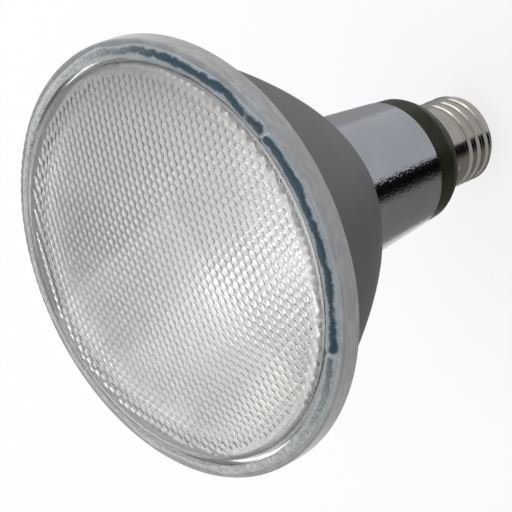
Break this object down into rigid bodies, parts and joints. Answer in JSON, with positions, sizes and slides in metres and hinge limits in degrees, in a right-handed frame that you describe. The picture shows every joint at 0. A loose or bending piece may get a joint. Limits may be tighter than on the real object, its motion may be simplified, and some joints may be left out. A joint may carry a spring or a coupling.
{
  "type": "par spotlight bulb",
  "caption": "Glass reflector spotlight bulb with a stippled convex lens, matt grey bowl, bright metal skirt, dark insulating ring and a medium screw base.",
  "frame": {"origin": "on the lamp's axis, in the plane where the screw shell meets the underside of the insulating ring", "axes": "+Z along the axis from the screw base to the lens; X and Y across the lamp, with the weld spot on the collar at 230 degrees from +X"},
  "size_m": [0.121, 0.121, 0.1314],
  "materials": {
    "lens_glass": "clear pressed glass",
    "coated_glass": "pressed glass, metallised inside, matt grey outside",
    "rim_adhesive": "dark blue-grey adhesive bead",
    "skirt_aluminium": "bright spun aluminium",
    "dark_moulding": "glossy dark moulding",
    "shell_nickel": "nickel-plated brass sheet",
    "contact_brass": "bare brass",
    "black_glass": "opaque black glass",
    "solder": "dull soft solder",
    "cement": "basing cement",
    "quartz": "clear quartz",
    "mount_metal": "nickel wire",
    "tungsten": "drawn tungsten",
    "copper_lead": "copper wire"
  },
  "bodies": {
    "root": {"lens": "lens_glass", "reflector": "coated_glass", "rim_seal": "rim_adhesive", "skirt": "skirt_aluminium", "insulating_ring": "dark_moulding", "screw_shell": "shell_nickel", "side_weld": "solder", "base_insulator": "black_glass", "centre_contact": "contact_brass", "contact_solder": "solder", "basing_cement": "cement", "capsule": "quartz", "seal_foil_a": "mount_metal", "seal_foil_b": "mount_metal", "filament": "tungsten", "mount_post_a": "mount_metal", "mount_post_b": "mount_metal", "ferrule_a": "mount_metal", "ferrule_b": "mount_metal", "shell_lead": "copper_lead", "contact_lead": "copper_lead"}
  },
  "joints": []
}
